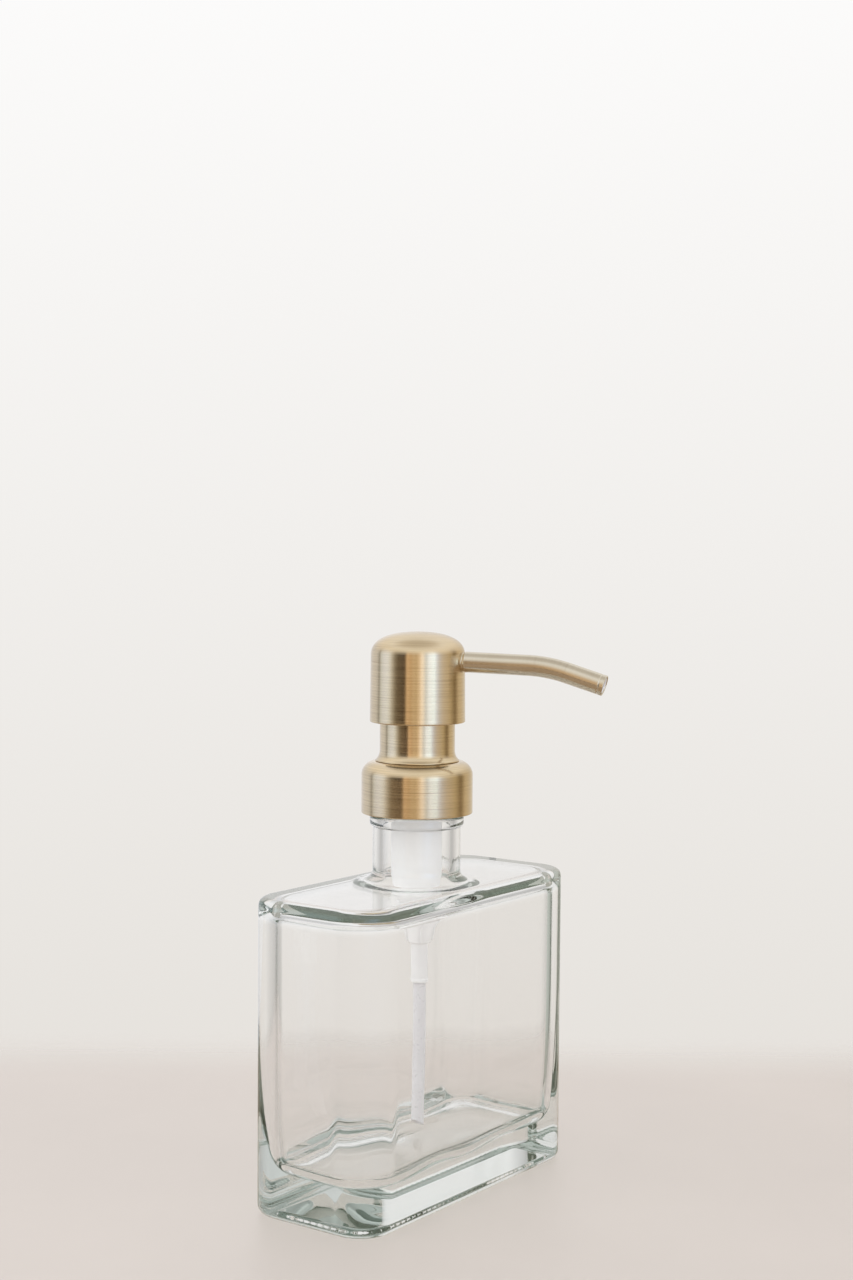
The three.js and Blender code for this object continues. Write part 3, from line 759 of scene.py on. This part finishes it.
    # the cavity's skin isn't true: its floor rolls in slow waves, and its walls wander a little
    x, y, z = points[..., 0], points[..., 1], points[..., 2]
    inside = np.arange(len(points))[:, None] >= outsideRows
    low = smooth((spec["floor"] + 7 - z) / 7) * inside
    wave = np.sin(x / 7.1 + 0.8) * np.cos(y / 6.3 - 0.4)
    wave += 0.6 * np.sin(x / 4.3 - y / 5.1 + 2.0) + 0.5 * np.cos(x / 13 + y / 9)
    lift = spec["floorWave"] * wave * low
    away = points[..., :2] / np.maximum(np.linalg.norm(points[..., :2], axis=-1, keepdims=True), 1)
    wander = spec["wander"] * np.sin(z / 9 + x / 17) * np.sin(x / 11 - y / 7 + z / 23)
    wander = wander * inside * smooth((ceiling - z) / 8)
    points[..., 2] += lift
    points[..., :2] += away * wander[..., None]
    return points, False, lengthAlong(outline(spec, [6.0], bottleColumns)[0])[None, :]


glassLook = {
    "tint": (0.80, 0.87, 0.84),
    "density": 8.0,  # absorption to the metre
    "patience": 3.5,  # reflections inside before light is let straight out
    "shade": (0.985, 0.99, 0.987),  # what lamps lose on their way through
    # lostShade is painted shade: it darkens the light let straight out, to paint dark lines inside the
    # glass
    "lostShade": (0.62, 0.67, 0.64),  # what light keeps when it goes straight out
    "ripple": 0.02,
    "barPitch": 2.4,  # millimetres from bar to bar
    "bars": 0.12,
}


def glassMaterial(spec):
    material, tree, shader = newMaterial("clearGlass")
    shader.inputs["Base Color"].default_value = (1, 1, 1, 1)
    shader.inputs["Roughness"].default_value = 0.0
    shader.inputs["Transmission Weight"].default_value = 1
    shader.inputs["IOR"].default_value = 1.5
    marks = placeGroup(tree, uneven, Broad=70.0, Grain=260.0)
    bump = addNode(tree, "Bump", Strength=spec["ripple"], Distance=0.001)
    tree.links.new(marks.outputs["Cloud"], bump.inputs["Height"])
    # moulded bars on the bearing edge: the sine of the distance round the foot, where z is near 0
    split = addNode(tree, "SeparateXYZ")
    tree.links.new(addNode(tree, "TexCoord").outputs["Object"], split.inputs[0])
    distance = addNode(tree, "Attribute", attribute_name="along").outputs["Fac"]
    rhythm = math(tree, "SINE", math(tree, "MULTIPLY", distance, fullTurn / spec["barPitch"]))
    bars = stretched(tree, rhythm, 0.0, 0.6, 0, 1)
    bars = math(tree, "MULTIPLY", bars, stretched(tree, split.outputs[2], 0.0002, 0.0010, 1, 0))
    moulded = addNode(tree, "Bump", Strength=spec["bars"], Distance=0.0004)
    tree.links.new(bars, moulded.inputs["Height"])
    tree.links.new(bump.outputs[0], moulded.inputs["Normal"])
    tree.links.new(moulded.outputs[0], shader.inputs["Normal"])
    clear = addNode(tree, "BsdfTransparent")
    path = addNode(tree, "LightPath")
    lamps = math(tree, "MAXIMUM", path.outputs["Is Shadow Ray"], path.outputs["Is Diffuse Ray"])
    # light that has been passed on many times inside goes straight out, or it would end up black; real
    # glass doesn't do that. It goes out darkened by lostShade: painted shade for the dark lines inside the
    # glass
    lost = math(tree, "GREATER_THAN", path.outputs["Glossy Depth"], spec["patience"])
    lamps = math(tree, "MAXIMUM", lamps, lost)
    tree.links.new(mixColours(tree, lost, spec["shade"] + (1,), spec["lostShade"] + (1,)), clear.inputs[0])
    seeThrough(tree, shader, lamps, clear)
    depth = addNode(tree, "VolumeAbsorption")
    depth.inputs["Color"].default_value = spec["tint"] + (1,)
    depth.inputs["Density"].default_value = spec["density"]
    tree.links.new(depth.outputs[0], tree.nodes["Material Output"].inputs["Volume"])
    return material


clearGlass = glassMaterial(glassLook)
makePiece("glassBottle", "bottle", clearGlass, [bottleSkin(bottleShape)], "glass_bottle")
print("bottle ready")


# The collar and the sleeve.
collarShape = {"radius": 16.0, "bottom": 107.9, "top": 122.8, "shoulder": 4.0, "hole": 10.0, "sheet": 0.5}


def collarProfile(spec):
    radius, low, high, sheet, hole = (spec[k] for k in ("radius", "bottom", "top", "sheet", "hole"))
    outside = [(radius - sheet, low, 0.2), (radius, low, 0.28), (radius, high, spec["shoulder"])]
    inside = [(hole, high, 0.15), (hole, high - sheet, 0.15),
              (radius - sheet, high - sheet, spec["shoulder"] - sheet)]
    return rounded(outside + inside, steps=10)


sleeveShape = {"radius": 10.8, "bottom": 122.86, "top": 135.5, "foot": 12.1, "flare": 3.4, "sheet": 0.5}


# The foot flares out as radius + (foot - radius) * (1 - share)^3 over the flare's height.
def sleeveProfile(spec):
    radius, low, high, foot, sheet = (spec[k] for k in ("radius", "bottom", "top", "foot", "sheet"))
    share = np.linspace(0, 1, 14)
    flare = np.stack([radius + (foot - radius) * (1 - share) ** 3, low + 0.18 + spec["flare"] * share], -1)
    bore = radius - sheet
    lip = np.array([[bore, low + 0.1], [bore + 0.1, low], [foot - 0.1, low], [foot - 0.02, low + 0.08]])
    top = rounded([(radius, high - 1, 0.1), (radius, high, 0.25), (bore, high, 0.2), (bore, high - 1, 0.1)],
                  steps=8, closed=False)
    return np.concatenate([lip, flare, top])


collarSkin = turned(collarProfile(collarShape), 192)
makePiece("collarShell", "cap", brushedBrass, [collarSkin], "collar_shell")
sleeveSkin = turned(sleeveProfile(sleeveShape), 192)
makePiece("sleeveShell", "pump", brushedBrass, [sleeveSkin], "sleeve_shell")


# The head.
headShape = {
    "top": 159.8,
    "bottom": 134.0,
    "radiusTop": 13.5,
    "radiusBottom": 13.7,
    "dome": 6.8,
    "power": 2.4,
    "sheet": 0.5,
}


# Straight sides with a little flare, under a dome whose height above the spring line is
# dome * (1 - (r / R)^p)^(1 / p).
def headProfile(spec):
    def side(inset):
        turn = np.linspace(0, np.pi / 2, 28)[:-1]
        radius, rise = spec["radiusTop"] - inset, spec["dome"] - inset
        spring = spec["top"] - spec["dome"]
        power = 2 / spec["power"]
        dome = np.stack([radius * np.cos(turn) ** power, spring + rise * np.sin(turn) ** power], -1)
        climb = np.linspace(0.04, 1, 12, endpoint=False)[:, None]
        foot = np.array([[spec["radiusBottom"] - inset, spec["bottom"]]])
        return np.concatenate([foot + (dome[:1] - foot) * climb, dome])

    outside, inside = side(0), side(spec["sheet"])[::-1]
    foot, half = spec["radiusBottom"], spec["sheet"] / 2
    turn = np.linspace(-np.pi, 0, 9)
    edge = np.stack([foot - half + half * np.cos(turn), spec["bottom"] + half + half * np.sin(turn)], -1)
    return outside, inside, edge


def headSkin(spec):
    outside, inside, edge = headProfile(spec)
    low = np.array([[0.0, spec["top"] - spec["sheet"]]])
    high = np.array([[0.0, spec["top"]]])
    return turned(np.concatenate([low, inside, edge, outside, high]), 192)


makePiece("headShell", "head", brushedBrass, [headSkin(headShape)], "head_shell")


# The spout and its liner.
spoutShape = {
    "radius": 2.98,
    "wall": 0.4,
    "liner": 1.5,
    "linerShort": 0.2,  # how far inside the tip the liner ends
    "linerGap": 0.1,
    "height": 151.8,
    "heading": -68.8,  # degrees, and so are both falls
    "fall": 1.6,
    "endFall": 17.4,
    "bendStart": 32.0,
    "bendRadius": 42.0,
    "reach": 54.1,
    "root": 6.0,
    "seam": (13.1, 14.0, 0.3),  # a groove close to the head: from, to and how deep
    "ringBack": 1.5,  # a fine ring, this far back from the tip
}


# The centreline by its own length s from the head's axis: a straight, an arc of the bend's radius, a
# straight. Gives how far out and how high each point is, and the line's slope there as an angle.
def spoutLine(spec, s):
    fall, endFall = np.radians([spec["fall"], spec["endFall"]])
    straight = spec["bendStart"] / np.cos(fall)
    arc = spec["bendRadius"] * (endFall - fall)
    into, after = np.clip(s - straight, 0, arc), np.maximum(s - straight - arc, 0)
    turn = fall + into / spec["bendRadius"]
    first = np.minimum(s, straight)
    bent = spec["bendRadius"] * (np.sin(turn) - np.sin(fall))
    sunk = spec["bendRadius"] * (np.cos(fall) - np.cos(turn))
    x = first * np.cos(fall) + bent + after * np.cos(endFall)
    z = spec["height"] - first * np.sin(fall) - sunk - after * np.sin(endFall)
    return x, z, turn


# A section of radius r carried along the spout's line:
# point = centre + r (cos a * sideways + sin a * upright).
def pipeAlongSpout(spec, s, radius, columns=48):
    x, z, turn = spoutLine(spec, s)
    angle = np.linspace(0, fullTurn, columns, endpoint=False)[None, :]
    heading = np.radians(spec["heading"])
    out = x[:, None] + radius[:, None] * np.sin(angle) * np.sin(turn)[:, None]
    up = z[:, None] + radius[:, None] * np.sin(angle) * np.cos(turn)[:, None]
    side = radius[:, None] * np.cos(angle)
    along, across = np.cos(heading), np.sin(heading)
    return np.stack([out * along - side * across, out * across + side * along, up], -1)


def spoutLength(spec):
    lengths = np.linspace(0, 80, 4001)
    return np.interp(spec["reach"], spoutLine(spec, lengths)[0], lengths)


# The metal tube has a seam and a ring cut into its outside, and its liner has none.
def spoutSkin(spec, outer, inner, cut):
    end, root = spoutLength(spec), spec["root"]
    near, far, deep = spec["seam"]
    run = np.linspace(root, end - 2.2, 60)
    junction = np.array([near - 0.2, near - 0.1, near + 0.05, far - 0.1, far + 0.05, far + 0.15])
    run = np.sort(np.concatenate([run[(run < near - 0.3) | (run > far + 0.3)], junction]))
    sunk = np.where((run > near) & (run < far), deep, 0) * cut
    ring = end - spec["ringBack"] + np.array([-0.35, -0.2, -0.1, 0, 0.1, 0.2, 0.35])
    groove = np.array([0, 0, 0.05, 0.09, 0.05, 0, 0]) * cut
    turn = np.linspace(0, np.pi, 9)
    half = (outer - inner) / 2
    s = np.concatenate([[root], run, ring, end - half + half * np.sin(turn), run[::-1], [root]])
    lip = outer - half + half * np.cos(turn)
    radius = np.concatenate([[outer], outer - sunk, outer - groove, lip, np.full(len(run), inner), [inner]])
    return pipeAlongSpout(spec, s, radius), True, s[:, None]


tubeBore = spoutShape["radius"] - spoutShape["wall"]
tubeWall = spoutSkin(spoutShape, spoutShape["radius"], tubeBore, True)
makePiece("spoutTube", "head", smoothBrass, [tubeWall], "spout_tube")
linerShape = dict(spoutShape, reach=spoutShape["reach"] - spoutShape["linerShort"])
linerWall = spoutSkin(linerShape, tubeBore - spoutShape["linerGap"], spoutShape["liner"], False)
makePiece("spoutLiner", "head", milkyTube, [linerWall], "spout_liner")
print("brass ready")


# The housing, the dip tube and the spring.
housingShape = {
    "mouth": 8.6, "top": 122.3,
    "flange": 12.0, "flangeFoot": 118.9, "flangeHead": 120.2,
    "barrel": 7.3, "bore": 6.4, "barrelFoot": 81.0, "boreFoot": 84.5,
    "seat": 5.4, "seatHeight": 83.5,  # the spring stands here
    "throat": 1.6, "throatHead": 82, "throatFoot": 78.1,
    "cage": 2.5, "cageHead": 77.5, "cageFoot": 73.6,  # the inlet ball's room
    "inlet": 1.2, "inletHead": 72.3, "inletFoot": 69,
    "tailTop": 79.5, "tailWide": 4.75, "tailNarrow": 3.3, "tailFoot": 70.5,
    "nozzle": 2.4, "nozzleFoot": 58.9, "rim": 2.55, "socket": 2.02,
    "ribs": 4, "ribThick": 0.8,
}


def housingProfile(spec):
    foot, tail, barrel = spec["nozzleFoot"], spec["tailFoot"], spec["barrel"]
    outside = [
        (spec["socket"], spec["inletFoot"], 0.1), (spec["socket"], foot, 0.15), (spec["rim"], foot, 0.2),
        (spec["rim"], foot + 0.8, 0.1), (spec["nozzle"], foot + 1.0, 0.3), (spec["nozzle"], tail, 0.3),
        (spec["tailNarrow"], tail, 0.3), (spec["tailWide"], spec["tailTop"], 0.3),
        (barrel - 1.0, spec["barrelFoot"], 0.5), (barrel, spec["barrelFoot"] + 1, 0.6),
        (barrel, spec["flangeFoot"], 0.3), (spec["flange"], spec["flangeFoot"], 0.25),
        (spec["flange"], spec["flangeHead"], 0.25), (spec["mouth"], spec["flangeHead"], 0.3),
        (spec["mouth"], spec["top"], 0.25)]
    inside = [
        (spec["bore"], spec["top"], 0.25), (spec["bore"], spec["boreFoot"], 0.4),
        (spec["seat"], spec["seatHeight"], 0.4), (spec["throat"], spec["throatHead"], 0.2),
        (spec["throat"], spec["throatFoot"], 0.2), (spec["cage"], spec["cageHead"], 0.2),
        (spec["cage"], spec["cageFoot"], 0.2), (spec["inlet"], spec["inletHead"], 0.2),
        (spec["inlet"], spec["inletFoot"], 0.1)]
    return rounded(outside + inside, steps=4)


# A thin plate from its outline: the outline, drawn a little towards its middle at both faces, at four
# depths.
def plateSkin(corners, thickness, heading):
    edge = rounded(corners, steps=3, hold=0.05)
    middle = edge.mean(0)
    depth = np.array([-0.5, -0.32, 0.32, 0.5]) * thickness
    shrink = np.array([0.94, 1.0, 1.0, 0.94])[:, None, None]
    flat = middle + (edge - middle)[None] * shrink
    out, up, side = flat[..., 0], flat[..., 1], depth[:, None] + 0 * flat[..., 0]
    turn = np.radians(heading)
    along, across = np.cos(turn), np.sin(turn)
    points = np.stack([out * along - side * across, out * across + side * along, up], -1)
    return points[:, ::-1], False


def housingSkins(spec):
    root, low, high, wide = 2.0, spec["tailFoot"] + 0.4, spec["tailTop"], spec["tailWide"] + 0.9
    corners = [(root, low, 0.1), (spec["tailNarrow"] + 0.5, low, 0.15), (wide, high, 0.2),
               (wide, high + 0.8, 0.1), (root, high + 0.8, 0.1)]
    ribs = [plateSkin(corners, spec["ribThick"], 45 + 360 / spec["ribs"] * k) for k in range(spec["ribs"])]
    return [turned(housingProfile(spec), 96), *ribs]


makePiece("pumpHousing", "pump", whitePlastic, housingSkins(housingShape), "pump_housing")

tubeShape = {"radius": 1.85, "bore": 1.3, "foot": 15.0, "head": 68.8, "slant": 35.0}


# A tube whose foot is cut on a slant: the lowest rows follow z = foot + 1 - x tan(slant), never below
# the foot.
def tubeSkin(spec):
    bore, radius, foot, head = (spec[k] for k in ("bore", "radius", "foot", "head"))
    corners = [(bore, foot, 0.1), (radius, foot, 0.1), (radius, head, 0.1), (bore, head, 0.1)]
    profile = rounded(corners, steps=3)
    points, ring, along = turned(profile, 40)
    height = points[..., 2]
    cut = foot + 1 - points[..., 0] * np.tan(np.radians(spec["slant"]))
    slanted = np.maximum(height, np.maximum(cut + (height - foot), foot))
    points[..., 2] = np.where(height < (foot + head) / 2, slanted, height)
    return points, ring, along


makePiece("dipTube", "pump", milkyTube, [tubeSkin(tubeShape)], "dip_tube")

springShape = {"radius": 4.5, "wire": 0.8, "turns": 7, "bottom": 83.7, "top": 101.6, "stroke": 10.0}


# A wire wound downward round the axis: x = R cos a, y = R sin a, with a falling by one turn for each
# coil. The first and last coils lie flat against their neighbours, and the rest share the height that
# is left.
def springSkin(spec):
    wire, turns = spec["wire"] / 2, spec["turns"]
    turn = np.linspace(0, turns, 48 * turns + 1)
    span = spec["top"] - spec["bottom"] - spec["wire"]
    flat = spec["wire"] / span
    travel = np.interp(turn, [0, 1, turns - 1, turns], [0, flat, 1 - flat, 1])
    around = np.linspace(0, fullTurn, 12, endpoint=False)
    radius = spec["radius"] + wire * np.cos(around)[None, :]
    angle = -turn[:, None] * fullTurn
    height = (spec["top"] - wire - span * travel)[:, None] + wire * np.sin(around)[None, :]
    return np.stack([radius * np.cos(angle), radius * np.sin(angle), height], -1), False


coil = springSkin(springShape)
spring = makePiece("returnSpring", "pump", brightSteel, [coil], "return_spring")
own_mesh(spring)
print("pump ready")

# The pieces that stay as the frame has them.
keptFinishes = {
    "threaded_cap": whitePlastic,
    "chaplet": whitePlastic,
    "rim_gasket": sealFoam,
    "inlet_ball": brightSteel,
    "stem": whitePlastic,
    "valve_pin": whitePlastic,
    "piston": softPlastic,
    "actuator_core": whitePlastic,
}
for node, material in keptFinishes.items():
    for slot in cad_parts[node].material_slots:
        slot.material = material

print("done")
